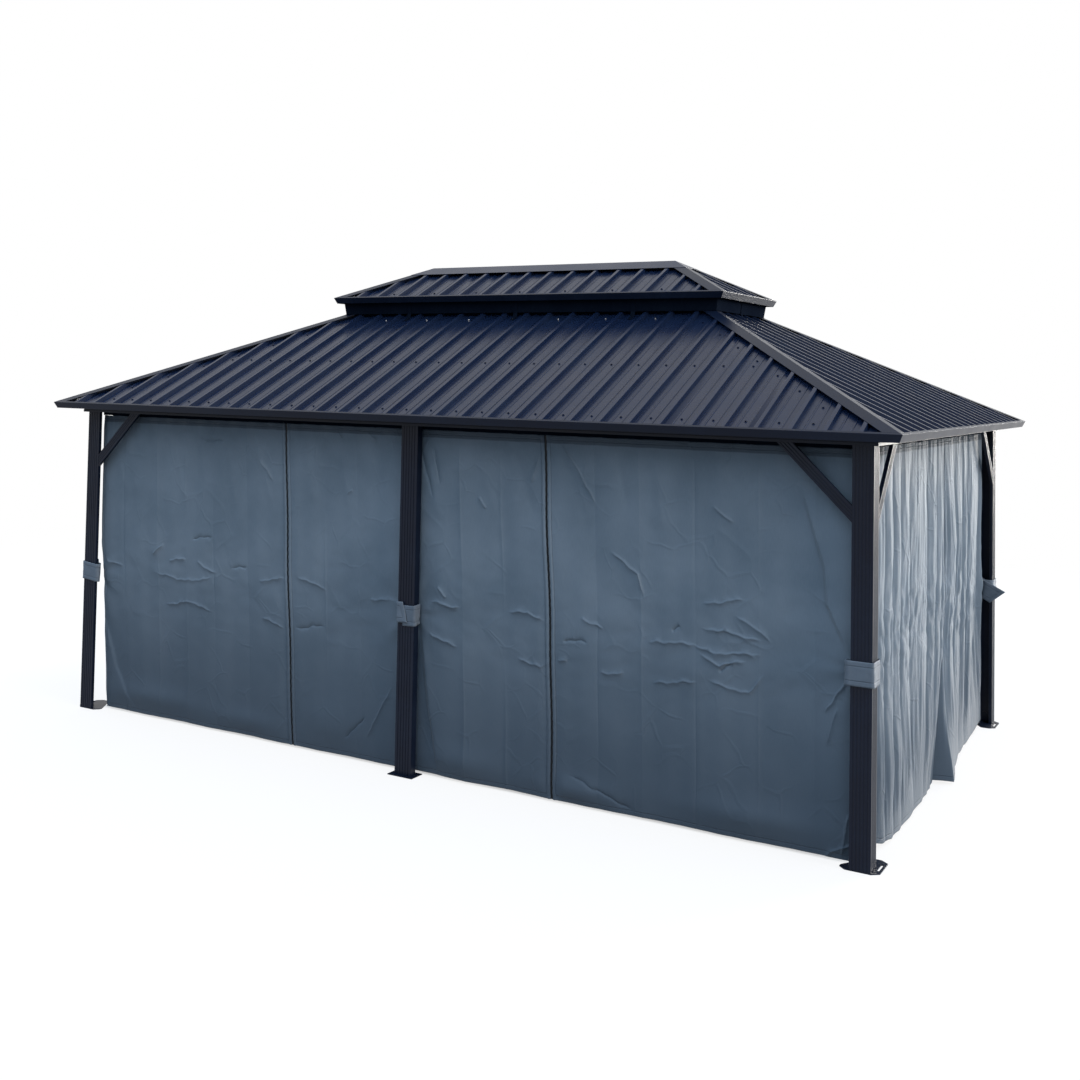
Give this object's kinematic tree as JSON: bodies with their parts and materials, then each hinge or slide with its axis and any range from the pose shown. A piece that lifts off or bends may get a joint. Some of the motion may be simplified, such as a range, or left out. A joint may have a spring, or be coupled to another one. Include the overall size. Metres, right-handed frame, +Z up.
{
  "type": "metal gazebo with curtains",
  "caption": "Hardtop garden gazebo: two-tier hipped roof of ribbed metal sheets with a vent between the tiers, on fluted posts with corner braces, closed by curtains.",
  "frame": {"origin": "on the ground, at the centre of the plan", "axes": "+X along the long side, -Y towards the front, +Z up"},
  "size_m": [5.444, 3.624, 2.998],
  "materials": {
    "post_paint": "charcoal powder coat, satin",
    "roof_paint": "dark blue grey coil coat, satin",
    "trim_paint": "dark blue grey coil coat, satin",
    "inner_steel": "charcoal powder coat, satin",
    "curtain_cloth": "woven polyester, matt",
    "strap_webbing": "woven polyester, matt"
  },
  "bodies": {
    "root": {"post_front_left": "post_paint", "post_front_right": "post_paint", "post_back_left": "post_paint", "post_back_right": "post_paint", "post_front_middle": "post_paint", "post_back_middle": "post_paint", "corner_feet": "post_paint", "middle_feet": "post_paint", "beam_front": "post_paint", "beam_back": "post_paint", "beam_left": "post_paint", "beam_right": "post_paint", "front_braces": "post_paint", "back_braces": "post_paint", "left_braces": "post_paint", "right_braces": "post_paint", "curtain_rails": "inner_steel", "hip_rafters": "inner_steel", "side_rafters": "inner_steel", "end_rafters": "inner_steel", "lower_roof_front": "roof_paint", "lower_roof_back": "roof_paint", "lower_roof_left": "roof_paint", "lower_roof_right": "roof_paint", "eave_trim_front": "trim_paint", "eave_trim_back": "trim_paint", "eave_trim_left": "trim_paint", "eave_trim_right": "trim_paint", "lower_hip_caps": "trim_paint", "vent_ring_sides": "inner_steel", "vent_ring_ends": "inner_steel", "vent_struts": "inner_steel", "upper_frame_sides": "inner_steel", "upper_frame_ends": "inner_steel", "upper_hip_rafters": "inner_steel", "ridge_beam": "inner_steel", "upper_roof_sides": "roof_paint", "upper_roof_ends": "roof_paint", "upper_trim_sides": "trim_paint", "upper_trim_ends": "trim_paint", "upper_hip_caps": "trim_paint", "ridge_cap": "trim_paint", "front_curtains": "curtain_cloth", "back_curtains": "curtain_cloth", "left_curtains": "curtain_cloth", "right_curtains": "curtain_cloth", "tie_straps": "strap_webbing"}
  },
  "joints": []
}
